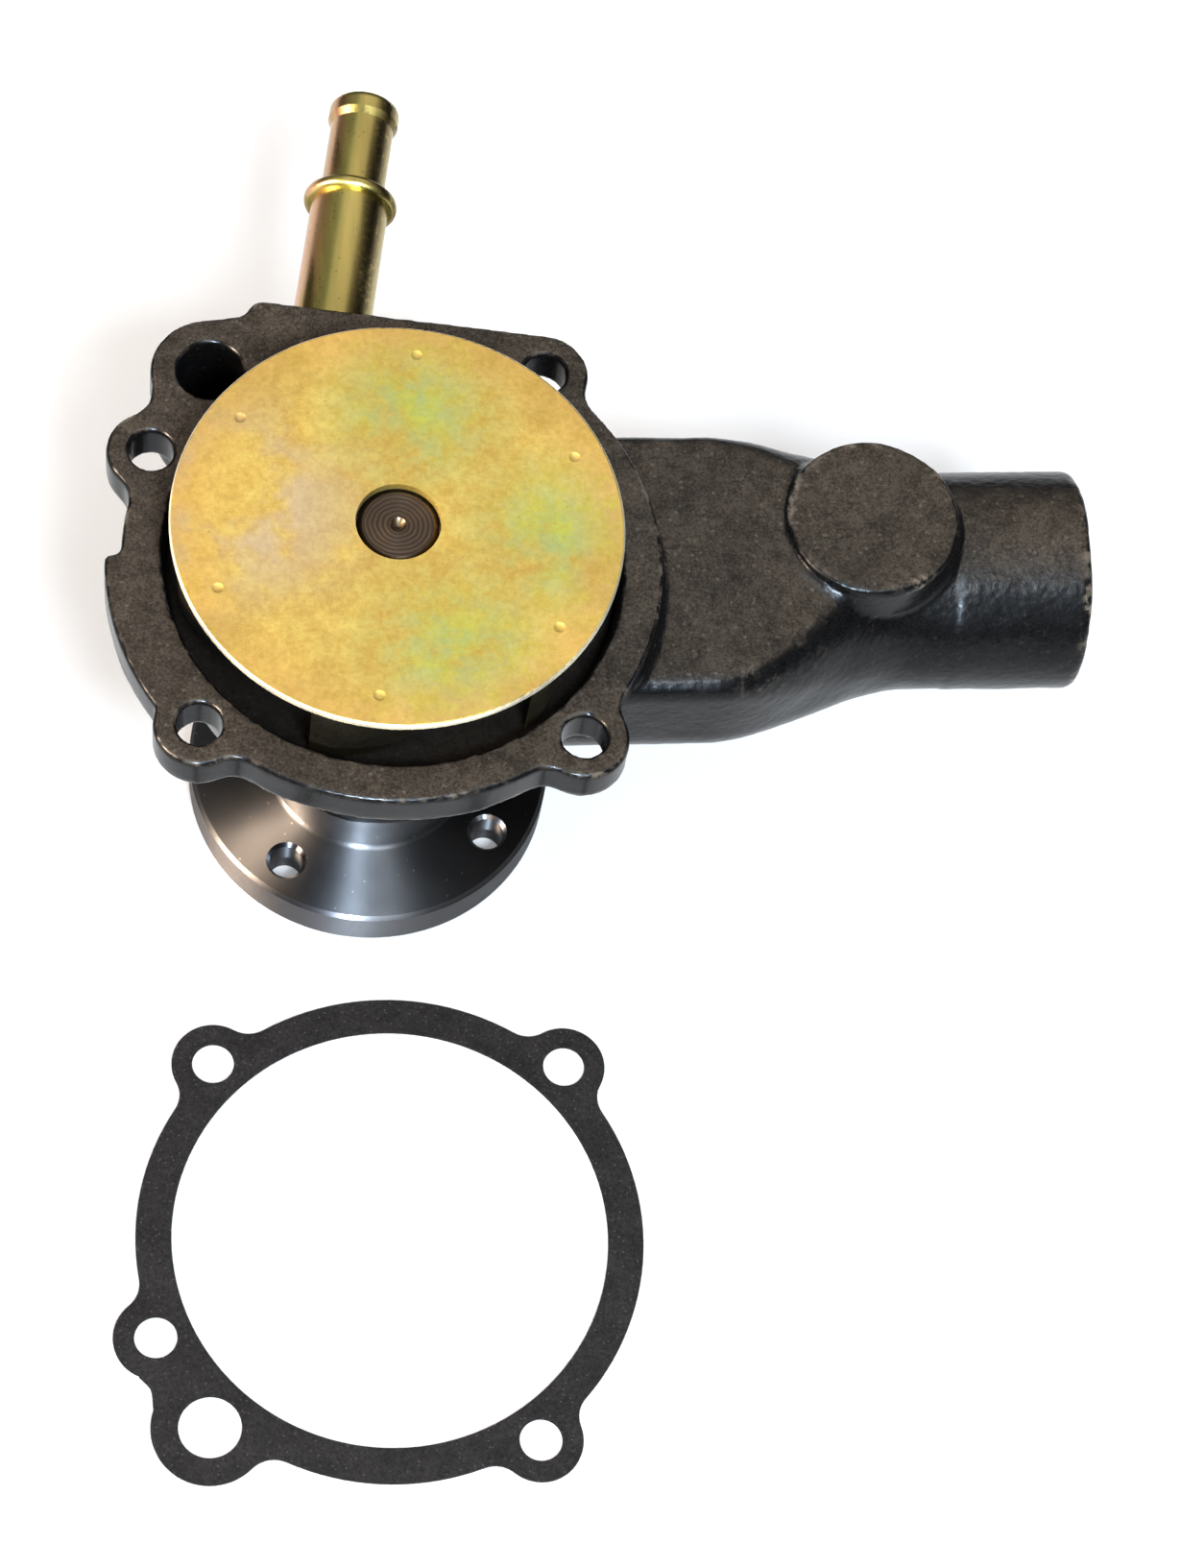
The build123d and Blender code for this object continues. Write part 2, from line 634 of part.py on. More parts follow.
with BuildPart() as retainer:
    with BuildSketch(Plane.XZ):
        with BuildLine():
            Polyline(
                (RETAINER_IN_R, RETAINER_LOW_Z),
                (RETAINER_OUT_R, RETAINER_LOW_Z),
                (RETAINER_OUT_R, RETAINER_LOW_Z + RETAINER_WALL),
                (CARBON_OUT_R + RETAINER_WALL, RETAINER_LOW_Z + RETAINER_WALL),
                (CARBON_OUT_R + RETAINER_WALL, CARBON_LOW_Z + RETAINER_GRIP),
                (CARBON_OUT_R, CARBON_LOW_Z + RETAINER_GRIP),
                (CARBON_OUT_R, CARBON_LOW_Z),
                (RETAINER_IN_R, CARBON_LOW_Z),
                close=True,
            )
        make_face()
    revolve(axis=Axis.Z)
retainer.part.label = "seal_retainer"
export_step(retainer.part, "parts/seal_retainer.step")

with BuildPart() as carbon:
    with BuildSketch(Plane.XY.offset(CARBON_LOW_Z)):
        Circle(CARBON_OUT_R)
        Circle(CARBON_IN_R, mode=Mode.SUBTRACT)
    extrude(amount=SEAL_FACE_Z - CARBON_LOW_Z)
    carbon_rim = carbon.edges().filter_by(GeomType.CIRCLE).sort_by(SortBy.RADIUS)[-2:]
    chamfer(carbon_rim, length=CARBON_CHAMFER)
carbon.part.label = "seal_carbon_ring"
export_step(carbon.part, "parts/seal_carbon_ring.step")

# ---- Mating ring and its rubber boot, held in the impeller hub ----
with BuildPart() as mating_ring:
    with BuildSketch(Plane.XY.offset(SEAL_FACE_Z)):
        Circle(MATING_OUT_R)
        Circle(MATING_IN_R, mode=Mode.SUBTRACT)
    extrude(amount=MATING_T)
mating_ring.part.label = "mating_ring"
export_step(mating_ring.part, "parts/mating_ring.step")

BOOT_TOP_Z = SEAL_FACE_Z + MATING_T + BOOT_T
with BuildPart() as boot:
    with BuildSketch(Plane.XZ):
        with BuildLine():
            Polyline(
                (MATING_OUT_R, SEAL_FACE_Z + BOOT_SET),
                (MATING_OUT_R + BOOT_T, SEAL_FACE_Z + BOOT_SET),
                (MATING_OUT_R + BOOT_T, BOOT_TOP_Z),
                (MATING_IN_R, BOOT_TOP_Z),
                (MATING_IN_R, SEAL_FACE_Z + MATING_T),
                (MATING_OUT_R, SEAL_FACE_Z + MATING_T),
                close=True,
            )
        make_face()
    revolve(axis=Axis.Z)
boot.part.label = "mating_ring_boot"
export_step(boot.part, "parts/mating_ring_boot.step")

# ---- Impeller: hub, stamped vane spider and closing disc ----
SPIDER_TOP_Z = DISC_TOP_Z - DISC_T
SPIDER_LOW_Z = SPIDER_TOP_Z - VANE_T
with BuildPart() as impeller_hub:
    with BuildSketch(Plane.XZ):
        with BuildLine():
            Polyline(
                (SHAFT_R, BOOT_TOP_Z),
                (IMPELLER_CUP_R, BOOT_TOP_Z),
                (IMPELLER_CUP_R, BOOT_TOP_Z + IMPELLER_CUP_T),
                (IMPELLER_HUB_R, BOOT_TOP_Z + IMPELLER_CUP_T),
                (IMPELLER_HUB_R, SPIDER_LOW_Z),
                (SHAFT_R, SPIDER_LOW_Z),
                close=True,
            )
        make_face()
    revolve(axis=Axis.Z)
impeller_hub.part.label = "impeller_hub"
export_step(impeller_hub.part, "parts/impeller_hub.step")

VANE_START = polar(VANE_IN_R, 0)
VANE_END = polar(VANE_OUT_R, -VANE_SWEEP)
VANE_MIDDLE = polar((VANE_IN_R + VANE_OUT_R) / 2, -VANE_SWEEP * VANE_BOW)


def vane_strip(width):
    """Curved strip along a vane's line, trimmed to the impeller's radius."""
    with BuildSketch() as strip:
        with BuildLine():
            ThreePointArc(VANE_START, VANE_MIDDLE, VANE_END)
            offset(amount=width / 2, side=Side.BOTH)
        make_face()
        Circle(VANE_OUT_R, mode=Mode.INTERSECT)
    return strip.sketch


with BuildPart() as vanes:
    with BuildSketch(Plane.XY.offset(SPIDER_LOW_Z)):
        Circle(SPIDER_R)
        with PolarLocations(0, VANE_COUNT, start_angle=VANE_TURN):
            add(vane_strip(VANE_TAB_W))
        Circle(DISC_HOLE_R, mode=Mode.SUBTRACT)
    extrude(amount=VANE_T)
    with BuildSketch(Plane.XY.offset(VANE_LOW_Z)):
        with PolarLocations(0, VANE_COUNT, start_angle=VANE_TURN):
            add(vane_strip(VANE_T))
    extrude(amount=SPIDER_LOW_Z - VANE_LOW_Z)
vanes.part.label = "impeller_vanes"
export_step(vanes.part, "parts/impeller_vanes.step")

with BuildPart() as disc:
    with BuildSketch(Plane.XY.offset(SPIDER_TOP_Z)):
        Circle(DISC_R)
        Circle(DISC_HOLE_R, mode=Mode.SUBTRACT)
    extrude(amount=DISC_T)
    disc_rim = disc.edges().filter_by(GeomType.CIRCLE).sort_by(SortBy.RADIUS)[-2:]
    fillet(disc_rim, radius=DISC_EDGE)
    # Dents of the welds that hold the disc to the vanes.
    with Locations(Plane.XY.offset(DISC_TOP_Z + WELD_DENT_R - WELD_DENT)):
        with PolarLocations(WELD_AT_R, VANE_COUNT, start_angle=WELD_TURN):
            Sphere(WELD_DENT_R, mode=Mode.SUBTRACT)
disc.part.label = "impeller_disc"
export_step(disc.part, "parts/impeller_disc.step")

# ---- Heater nipple: tube pressed into the pad, with a stop collar and a hose bead ----
NIPPLE_SIDE = Plane(
    origin=NIPPLE_ROOT, x_dir=(0, 0, 1), z_dir=Vector(0, 0, 1).cross(PAD_OUT)
)
COLLAR_END = NIPPLE_COLLAR_AT + NIPPLE_COLLAR_W
with BuildPart() as nipple:
    with BuildSketch(NIPPLE_SIDE) as nipple_wall:
        with BuildLine():
            Polyline(
                (NIPPLE_BORE_R, -NIPPLE_INSERT),
                (NIPPLE_R, -NIPPLE_INSERT),
                (NIPPLE_R, NIPPLE_COLLAR_AT),
                (NIPPLE_COLLAR_R, NIPPLE_COLLAR_AT),
                (NIPPLE_COLLAR_R, COLLAR_END),
                (NIPPLE_TIP_R, COLLAR_END),
                (NIPPLE_TIP_R, NIPPLE_BEAD_AT - NIPPLE_BEAD_RISE),
                (NIPPLE_BEAD_R, NIPPLE_BEAD_AT),
                (NIPPLE_BEAD_R, NIPPLE_LENGTH),
                (NIPPLE_BORE_R, NIPPLE_LENGTH),
                close=True,
            )
        make_face()
        corner(nipple_wall, (NIPPLE_COLLAR_R, NIPPLE_COLLAR_AT), NIPPLE_COLLAR_ROUND)
        corner(nipple_wall, (NIPPLE_COLLAR_R, COLLAR_END), NIPPLE_COLLAR_ROUND)
        corner(nipple_wall, (NIPPLE_BEAD_R, NIPPLE_LENGTH), NIPPLE_TIP_ROUND)
    revolve(axis=Axis(NIPPLE_ROOT, PAD_OUT))
nipple.part.label = "heater_nipple"
export_step(nipple.part, "parts/heater_nipple.step")

# ---- Block gasket: lies loose and turned over, so its pattern is the flange's mirrored ----
GASKET_EAR_SIDES = ((0, 1), (1, -1), (1, 1), (2, -1), (2, 1), (3, -1), (3, 1))
GASKET_PLANE = Plane(
    origin=(GASKET_AT[0], GASKET_AT[1], GASKET_T),
    x_dir=(cos(radians(GASKET_TURN)), sin(radians(GASKET_TURN)), 0),
    z_dir=(0, 0, -1),
)
with BuildPart() as gasket:
    with BuildSketch(GASKET_PLANE) as gasket_face:
        Circle(GASKET_OUT_R)
        with Locations(*BOLTS):
            Circle(GASKET_EAR_R)
        with Locations(PORT_AT):
            Circle(PORT_EAR_R)
        Polygon((0, 0), EAR_B, *reversed(EAR_BRIDGE), PORT_AT, align=None)
        corner(gasket_face, EAR_BRIDGE[1], EAR_CORNER)
        corner(gasket_face, polar(GASKET_OUT_R, GASKET_PORT_CORNER), EAR_FILLET)
        for bolt, side in GASKET_EAR_SIDES:
            near = ear_corner(BOLT_ANGLES[bolt], side, GASKET_OUT_R, GASKET_EAR_R)
            corner(gasket_face, near, EAR_FILLET)
        Circle(GASKET_IN_R, mode=Mode.SUBTRACT)
        with Locations(*BOLTS):
            Circle(GASKET_HOLE_R, mode=Mode.SUBTRACT)
        with Locations(PORT_AT):
            Circle(GASKET_PORT_R, mode=Mode.SUBTRACT)
    extrude(amount=GASKET_T)
gasket.part.label = "block_gasket"
export_step(gasket.part, "parts/block_gasket.step")
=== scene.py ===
import json
from math import pi, radians

import bpy
import numpy as np
import openvdb as vdb
from mathutils import Matrix, Vector


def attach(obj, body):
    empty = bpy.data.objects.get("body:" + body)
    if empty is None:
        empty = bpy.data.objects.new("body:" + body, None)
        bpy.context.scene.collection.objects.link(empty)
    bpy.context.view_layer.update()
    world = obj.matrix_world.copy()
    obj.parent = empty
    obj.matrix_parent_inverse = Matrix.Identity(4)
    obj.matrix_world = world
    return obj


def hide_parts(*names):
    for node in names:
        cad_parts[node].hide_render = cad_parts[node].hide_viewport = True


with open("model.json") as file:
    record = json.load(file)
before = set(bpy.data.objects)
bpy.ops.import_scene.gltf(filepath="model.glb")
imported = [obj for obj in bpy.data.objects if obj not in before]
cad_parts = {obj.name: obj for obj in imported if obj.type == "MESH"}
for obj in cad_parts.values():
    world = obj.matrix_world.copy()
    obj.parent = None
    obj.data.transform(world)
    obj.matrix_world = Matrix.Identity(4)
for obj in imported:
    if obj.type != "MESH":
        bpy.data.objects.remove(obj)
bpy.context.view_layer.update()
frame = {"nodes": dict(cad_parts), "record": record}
NODES = frame["nodes"]
MM = 0.001

MOUNTS = {mount["name"]: mount for mount in frame["record"]["mounts"]}
FLANGE_HOLES = [m for name, m in MOUNTS.items() if name.startswith("flange_hole")]
FLANGE_TOP = MOUNTS["block_face"]["pos_m"][2]
FLANGE_T = FLANGE_HOLES[0]["dims"]["length_mm"] * MM
FLANGE_LOW = FLANGE_TOP - FLANGE_T
PIPE = Vector(MOUNTS["inlet_bore"]["pos_m"])
PIPE_BORE_R = MOUNTS["inlet_bore"]["dims"]["r_mm"] * MM
PORT = Vector(MOUNTS["coolant_port"]["pos_m"])
NIPPLE = Vector(MOUNTS["heater_nipple_bore"]["pos_m"])
NIPPLE_AXIS = Vector(MOUNTS["heater_nipple_bore"]["axis"]).normalized()

# ---- Cast skin: the housing's CAD surface with a foundry's fillets, rounds and grain ----
VOXEL = 0.55 * MM
BAND = 8  # voxels of distance kept on each side of the surface

# Blurs that round hollows, as-cast edges and machined edges.
FILLET_BLUR = 2.3 * MM
ROUND_BLUR = 0.75 * MM
FACE_BLUR = 0.4 * MM

# Height, wavelength and seed of each unevenness. Chips are a share of the edge's rounding.
WOBBLE = 0.16 * MM
WOBBLE_WAVE = 15 * MM
WOBBLE_SEED = 11
GRAIN = 0.05 * MM
GRAIN_WAVE = 1.9 * MM
GRAIN_SEED = 12
CHIP = 0.55
CHIP_WAVE = 3.5 * MM
CHIP_SEED = 5

# The wear attribute is 1 where a blur of this size lowers an edge by this much.
WEAR_BLUR = 0.9 * MM
WEAR_UNIT = 0.25 * MM

# Where machining takes over from the cast skin, as the two ends of each change.
FLANGE_SKIN_Z = (FLANGE_LOW + 0.5 * MM, FLANGE_LOW + 3.5 * MM)
BOWL_FLOOR_Z = (64 * MM, 66 * MM)
BOWL_INNER_R = 40 * MM
SNOUT_BORE_R = 22 * MM
HOLE_EDGE_R = (5.5 * MM, 7 * MM)
PORT_EDGE_R = (7.5 * MM, 9 * MM)
PIPE_EDGE_R = (PIPE_BORE_R, PIPE_BORE_R + 1 * MM)
NIPPLE_EDGE_R = (8.2 * MM, 9 * MM)


def blurred(field, sigma):
    """Gaussian blur of a voxel field, one axis after another; sigma in metres."""
    cells = sigma / VOXEL
    reach = max(1, int(2.2 * cells + 0.5))
    taps = np.exp(-0.5 * (np.arange(-reach, reach + 1) / cells) ** 2)
    taps = (taps / taps.sum()).astype(np.float32)
    for axis in range(3):
        pad = [(reach, reach) if a == axis else (0, 0) for a in range(3)]
        padded = np.pad(field, pad, mode="edge")
        count = field.shape[axis]
        field = sum(
            tap * np.take(padded, np.arange(k, k + count), axis=axis)
            for k, tap in enumerate(taps)
        )
    return field


def sampled(field, points, low):
    """Trilinear samples of a voxel field at points in metres."""
    at = (points - low) / VOXEL
    base = np.clip(np.floor(at).astype(int), 0, np.array(field.shape) - 2)
    part = (at - base).astype(np.float32)
    total = np.zeros(len(points), np.float32)
    for corner in np.ndindex(2, 2, 2):
        weight = np.prod([part[:, a] if corner[a] else 1 - part[:, a] for a in range(3)], axis=0)
        total += weight * field[tuple(base[:, a] + corner[a] for a in range(3))]
    return total


def noise_field(shape, wavelength, seed):
    """Smooth seeded noise in -1..1 on the voxel grid."""
    rng = np.random.default_rng(seed)
    step = wavelength / VOXEL / 2
    coarse = rng.uniform(-1, 1, [int(n / step) + 3 for n in shape]).astype(np.float32)
    for axis, count in enumerate(shape):
        at = np.arange(count) / step
        base = at.astype(int)
        part = (at - base).astype(np.float32)
        part = part * part * (3 - 2 * part)
        part = part.reshape([-1 if a == axis else 1 for a in range(3)])
        coarse = np.take(coarse, base, axis) * (1 - part) + np.take(coarse, base + 1, axis) * part
    return coarse


def ramp(value, low, high):
    """0 below low, 1 above high, straight between."""
    return np.clip((value - low) / (high - low), 0, 1)


def axis_distance(grid, point, axis):
    """Distance of each voxel from a line."""
    offsets = [grid[a] - point[a] for a in range(3)]
    along = sum(offsets[a] * axis[a] for a in range(3))
    return np.sqrt(np.maximum(sum(o * o for o in offsets) - along * along, 0))


def cast_mask(grid):
    """1 on as-cast surfaces, 0 on bored and machined ones."""
    x, y, z = grid
    radius = np.sqrt(x * x + y * y)
    mask = 1 - ramp(z, *FLANGE_SKIN_Z)
    inside = np.maximum(ramp(z, *BOWL_FLOOR_Z) * (radius < BOWL_INNER_R), radius < SNOUT_BORE_R)
    mask = mask * (1 - inside)
    for mount in FLANGE_HOLES:
        mask = mask * ramp(axis_distance(grid, mount["pos_m"], (0, 0, 1)), *HOLE_EDGE_R)
    mask = mask * ramp(axis_distance(grid, PORT, (0, 0, 1)), *PORT_EDGE_R)
    mask = mask * ramp(axis_distance(grid, PIPE, (1, 0, 0)), *PIPE_EDGE_R)
    return mask * ramp(axis_distance(grid, NIPPLE, NIPPLE_AXIS), *NIPPLE_EDGE_R)


def cast_skin(node, name):
    """Mesh piece that replaces a cast CAD node, with fillets, worn edges and foundry grain."""
    source = NODES[node].data
    source.calc_loop_triangles()
    points = np.empty(len(source.vertices) * 3, np.float32)
    source.vertices.foreach_get("co", points)
    points = points.reshape(-1, 3)
    corners = np.empty(len(source.loop_triangles) * 3, np.int32)
    source.loop_triangles.foreach_get("vertices", corners)
    corners = corners.reshape(-1, 3).astype(np.uint32)
    transform = vdb.createLinearTransform(voxelSize=VOXEL)
    level = vdb.FloatGrid.createLevelSetFromPolygons(
        points, triangles=corners, transform=transform, halfWidth=float(BAND)
    )
    first = np.floor(points.min(0) / VOXEL).astype(int) - BAND - 2
    last = np.ceil(points.max(0) / VOXEL).astype(int) + BAND + 2
    shape = tuple(int(n) for n in last - first + 1)
    field = np.empty(shape, np.float32)
    level.copyToArray(field, ijk=tuple(int(n) for n in first))
    low = first * VOXEL
    grid = np.meshgrid(
        *[(low[a] + np.arange(shape[a]) * VOXEL).astype(np.float32) for a in range(3)],
        indexing="ij",
        sparse=True,
    )
    mask = cast_mask(grid).astype(np.float32)
    field += mask * np.minimum(blurred(field, FILLET_BLUR) - field, 0)
    edge = np.maximum(blurred(field, FACE_BLUR) - field, 0)
    edge_cast = np.maximum(blurred(field, ROUND_BLUR) - field, 0)
    chips = CHIP * np.maximum(noise_field(shape, CHIP_WAVE, CHIP_SEED), 0)
    field += edge + mask * (edge_cast - edge) + chips * edge_cast
    field += mask * WOBBLE * noise_field(shape, WOBBLE_WAVE, WOBBLE_SEED)
    field += mask * GRAIN * noise_field(shape, GRAIN_WAVE, GRAIN_SEED)
    level = vdb.FloatGrid()
    level.transform = transform
    level.copyFromArray(field, ijk=tuple(int(n) for n in first))
    verts, quads = level.convertToQuads(isovalue=0.0)
    wear = sampled(blurred(field, WEAR_BLUR) - field, verts, low) / WEAR_UNIT
    cast = sampled(mask, verts, low)
    mesh = bpy.data.meshes.new(name)
    mesh.from_pydata(verts.tolist(), [], [q[::-1] for q in quads.tolist()])
    for key, values in (("wear", wear), ("cast", cast)):
        mesh.attributes.new(key, "FLOAT", "POINT").data.foreach_set("value", values)
    mesh.shade_smooth()
    mesh.validate()
    piece = bpy.data.objects.new(name, mesh)
    bpy.context.scene.collection.objects.link(piece)
    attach(piece, "housing")
    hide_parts(node)
    return piece


housing = cast_skin("pump_housing", "pump_housing_cast")


# ---- Materials ----
class Shader:
    """A material whose Principled shader is fed by procedural nodes in object space."""

    def __init__(self, name, **fixed):
        self.material = bpy.data.materials.new(name)
        self.material.use_nodes = True
        self.tree = self.material.node_tree
        self.bsdf = self.tree.nodes["Principled BSDF"]
        for socket, value in fixed.items():
            self.bsdf.inputs[socket.replace("_", " ")].default_value = value
        coordinates = self.tree.nodes.new("ShaderNodeTexCoord")
        self.place = coordinates.outputs["Object"]
        self.normal = coordinates.outputs["Normal"]

    def node(self, kind, settings=None, **inputs):
        """A new node with these settings, its named inputs fed with values or other nodes' outputs."""
        made = self.tree.nodes.new("ShaderNode" + kind)
        for key, value in (settings or {}).items():
            setattr(made, key, value)
        for key, value in inputs.items():
            self.feed(made.inputs[key.replace("_", " ")], value)
        return made

    def feed(self, socket, value):
        """Link the socket if value is another node's output, or else set it."""
        if isinstance(value, bpy.types.NodeSocket):
            self.tree.links.new(value, socket)
        else:
            socket.default_value = value

    def math(self, operation, *values, clamp=False):
        """The result of one arithmetic operation."""
        made = self.tree.nodes.new("ShaderNodeMath")
        made.operation = operation
        made.use_clamp = clamp
        for socket, value in zip(made.inputs, values):
            self.feed(socket, value)
        return made.outputs[0]

    def remap(self, value, low, high, start=0.0, end=1.0):
        """Smooth change from start to end while the value goes from low to high."""
        made = self.node(
            "MapRange",
            {"interpolation_type": "SMOOTHSTEP"},
            Value=value,
            From_Min=low,
            From_Max=high,
            To_Min=start,
            To_Max=end,
        )
        return made.outputs[0]

    def stretched(self, x, y, z):
        """Object coordinates scaled along each axis."""
        made = self.node("Mapping", None, Vector=self.place, Scale=(x, y, z))
        return made.outputs[0]

    def noise(self, size, detail=3.0, rough=0.5, shift=0.0, place=None):
        """Noise with features of about this size in metres."""
        moved = self.node("VectorMath", {"operation": "ADD"})
        self.feed(moved.inputs[0], place or self.place)
        moved.inputs[1].default_value = (shift, shift, shift)
        made = self.node(
            "TexNoise", None, Vector=moved.outputs[0], Scale=1 / size, Detail=detail, Roughness=rough
        )
        return made.outputs[0]

    def cells(self, size, shift=0.0):
        """Distance to the nearest of scattered points this far apart."""
        moved = self.node("VectorMath", {"operation": "ADD"})
        self.feed(moved.inputs[0], self.place)
        moved.inputs[1].default_value = (shift, shift, shift)
        return self.node("TexVoronoi", None, Vector=moved.outputs[0], Scale=1 / size).outputs["Distance"]

    def specks(self, size, share, shift=0.0):
        """1 in scattered grains, 0 between them."""
        return self.remap(self.cells(size, shift), share, share * 0.45)

    def mix(self, factor, first, second):
        """Colour between first, at 0, and second, at 1."""
        made = self.node("Mix", {"data_type": "RGBA"})
        self.feed(made.inputs[0], factor)
        for socket, value in ((made.inputs[6], first), (made.inputs[7], second)):
            self.feed(socket, value if isinstance(value, bpy.types.NodeSocket) else (*value, 1))
        return made.outputs[2]

    def tinted(self, color, value):
        """The colour, darker or lighter by this factor."""
        made = self.node("VectorMath", {"operation": "SCALE"})
        self.feed(made.inputs[0], color)
        self.feed(made.inputs["Scale"], value)
        return made.outputs[0]

    def split(self, vector):
        """The three coordinates of a vector."""
        return self.node("SeparateXYZ", None, Vector=vector).outputs

    def radius(self):
        """Distance from the shaft's line."""
        x, y, z = self.split(self.place)
        squares = self.math("ADD", self.math("MULTIPLY", x, x), self.math("MULTIPLY", y, y))
        return self.math("SQRT", squares)

    def blob(self, x, y, size):
        """1 at a point of the XY plane, fading to 0 at this distance."""
        flat = self.node("VectorMath", {"operation": "MULTIPLY"})
        self.feed(flat.inputs[0], self.place)
        flat.inputs[1].default_value = (1, 1, 0)
        far = self.node("VectorMath", {"operation": "DISTANCE"})
        self.feed(far.inputs[0], flat.outputs[0])
        far.inputs[1].default_value = (x, y, 0)
        return self.remap(far.outputs["Value"], size, 0)

    def rings(self, pitch, wander=0.3):
        """Turning marks about the shaft's line, -1 to 1."""
        turns = self.math("MULTIPLY", self.radius(), 2 * pi / pitch)
        moved = self.math("MULTIPLY_ADD", self.noise(4 * MM), wander * 2 * pi, turns)
        return self.math("SINE", moved)

    def attribute(self, name):
        """One of the cast skin's point attributes."""
        return self.node("Attribute", {"attribute_name": name}).outputs["Fac"]

    def bump(self, height, distance, strength=1.0, under=None):
        """Fine relief, on top of another bump's if one is given."""
        made = self.node("Bump", None, Height=height, Distance=distance, Strength=strength)
        if under:
            self.feed(made.inputs["Normal"], under)
        return made.outputs[0]

    def turned(self):
        """Point the brushing of an anisotropic metal round the shaft's line."""
        tangent = self.node("Tangent", {"direction_type": "RADIAL", "axis": "Z"})
        self.feed(self.bsdf.inputs["Tangent"], tangent.outputs[0])

    def finish(self, color, roughness, normal=None):
        """The finished material."""
        self.feed(self.bsdf.inputs["Base Color"], color)
        self.feed(self.bsdf.inputs["Roughness"], roughness)
        if normal:
            self.feed(self.bsdf.inputs["Normal"], normal)
        return self.material


# Radii about the shaft's line and heights between which a finish changes; the cavity's bounds mark where
# shade is painted and the disc's edge where a highlight is painted.
CAVITY_WALL_R = (44.7 * MM, 44.1 * MM)
CAVITY_FOOT_Z = (60 * MM, 63 * MM)
CAVITY_LIP_Z = (97.1 * MM, 96.6 * MM)
HUB_RIM_R = (37.3 * MM, 37.6 * MM)
SHAFT_CENTRE_R = (2.2 * MM, 0.8 * MM)
SHAFT_DIMPLE_R = (1.6 * MM, 0.5 * MM)
DISC_BLUSH_R = (30 * MM, 42 * MM)
DISC_EDGE_HIGHLIGHT_R = (42.7 * MM, 42.9 * MM)

# X, Y and reach of the disc's coloured patches.
GREEN_PATCHES = (
    (4 * MM, 24 * MM, 25 * MM),
    (30 * MM, -4 * MM, 26 * MM),
    (10 * MM, -28 * MM, 27 * MM),
)
SILVER_PATCH = (-28 * MM, 4 * MM, 30 * MM)


def cast_iron():
    """Black-finished iron casting: pebbly skin, lighter brown on top as dust and painted top light, worn
    tan along its edges.
    """
    s = Shader("cast_iron_black", Metallic=0.0, IOR=1.5, Specular_IOR_Level=0.11)
    cast = s.attribute("cast")
    wear = s.attribute("wear")
    facing_up = s.remap(s.split(s.normal)[2], 0.82, 0.98)
    stains = s.noise(14 * MM, 4)
    mottle = s.noise(3 * MM, 5, 0.65, shift=3.0)
    grain = s.noise(0.9 * MM, 4, 0.7, shift=7.0)
    pebbles = s.cells(1.5 * MM)
    speckle = s.noise(0.55 * MM, 3, 0.7, shift=9.0)
    tone = s.math("MULTIPLY_ADD", speckle, 0.65, s.math("MULTIPLY", mottle, 0.35))
    # Painted top light: up-facing faces get a lighter brown than the sides, partly dust and partly painted
    # light from above.
    dust_and_top_light = s.mix(s.remap(tone, 0.36, 0.64), (0.022, 0.016, 0.011), (0.074, 0.058, 0.043))
    side = s.mix(s.remap(tone, 0.36, 0.64), (0.003, 0.003, 0.0035), (0.010, 0.0097, 0.0097))
    color = s.mix(s.math("MULTIPLY", facing_up, s.remap(stains, 0.2, 0.5, 0.75, 1.0)), side, dust_and_top_light)
    color = s.tinted(color, s.remap(stains, 0.3, 0.72, 0.82, 1.15))
    pale = s.math("MULTIPLY", s.specks(1.7 * MM, 0.34), s.remap(grain, 0.46, 0.62))
    pale = s.math("MULTIPLY", pale, s.remap(facing_up, 0, 1, 0.1, 0.5))
    color = s.mix(pale, color, (0.17, 0.145, 0.115))
    dark = s.math("MULTIPLY", s.remap(grain, 0.45, 0.34), s.remap(mottle, 0.55, 0.42))
    color = s.mix(s.math("MULTIPLY", dark, 0.6), color, (0.008, 0.007, 0.006))
    broken = s.math("MULTIPLY", s.remap(mottle, 0.44, 0.60), s.remap(stains, 0.42, 0.60))
    cast_edge = s.math("MULTIPLY", cast, s.remap(wear, 0.25, 0.8))
    edge = s.math("ADD", s.remap(wear, 0.7, 1.5), cast_edge, clamp=True)
    rubbed = s.math("MULTIPLY", edge, broken)
    color = s.mix(s.math("MULTIPLY", rubbed, 0.75), color, (0.26, 0.215, 0.165))
    height = s.split(s.place)[2]
    # Painted shade: the bowl's walls inside the bore are painted nearly black, where shade falls in the
    # cavity.
    cavity_shade = s.math("MULTIPLY", s.remap(s.radius(), *CAVITY_WALL_R), s.remap(height, *CAVITY_FOOT_Z))
    cavity_shade = s.math("MULTIPLY", cavity_shade, s.remap(height, *CAVITY_LIP_Z))
    color = s.mix(s.math("MULTIPLY", cavity_shade, 0.85), color, (0.003, 0.003, 0.003))
    rough = s.math("ADD", s.remap(facing_up, 0, 1, 0.20, 0.40), s.math("MULTIPLY", grain, 0.10))
    relief = s.math("MULTIPLY", s.remap(cast, 0, 1, 0.3, 1.0), s.remap(facing_up, 0, 1, 0.35, 1.0))
    coarse = s.bump(pebbles, 0.3 * MM, s.math("MULTIPLY", relief, 0.35))
    fine = s.bump(grain, 0.20 * MM, s.math("MULTIPLY", relief, 0.75), coarse)
    return s.finish(color, rough, fine)


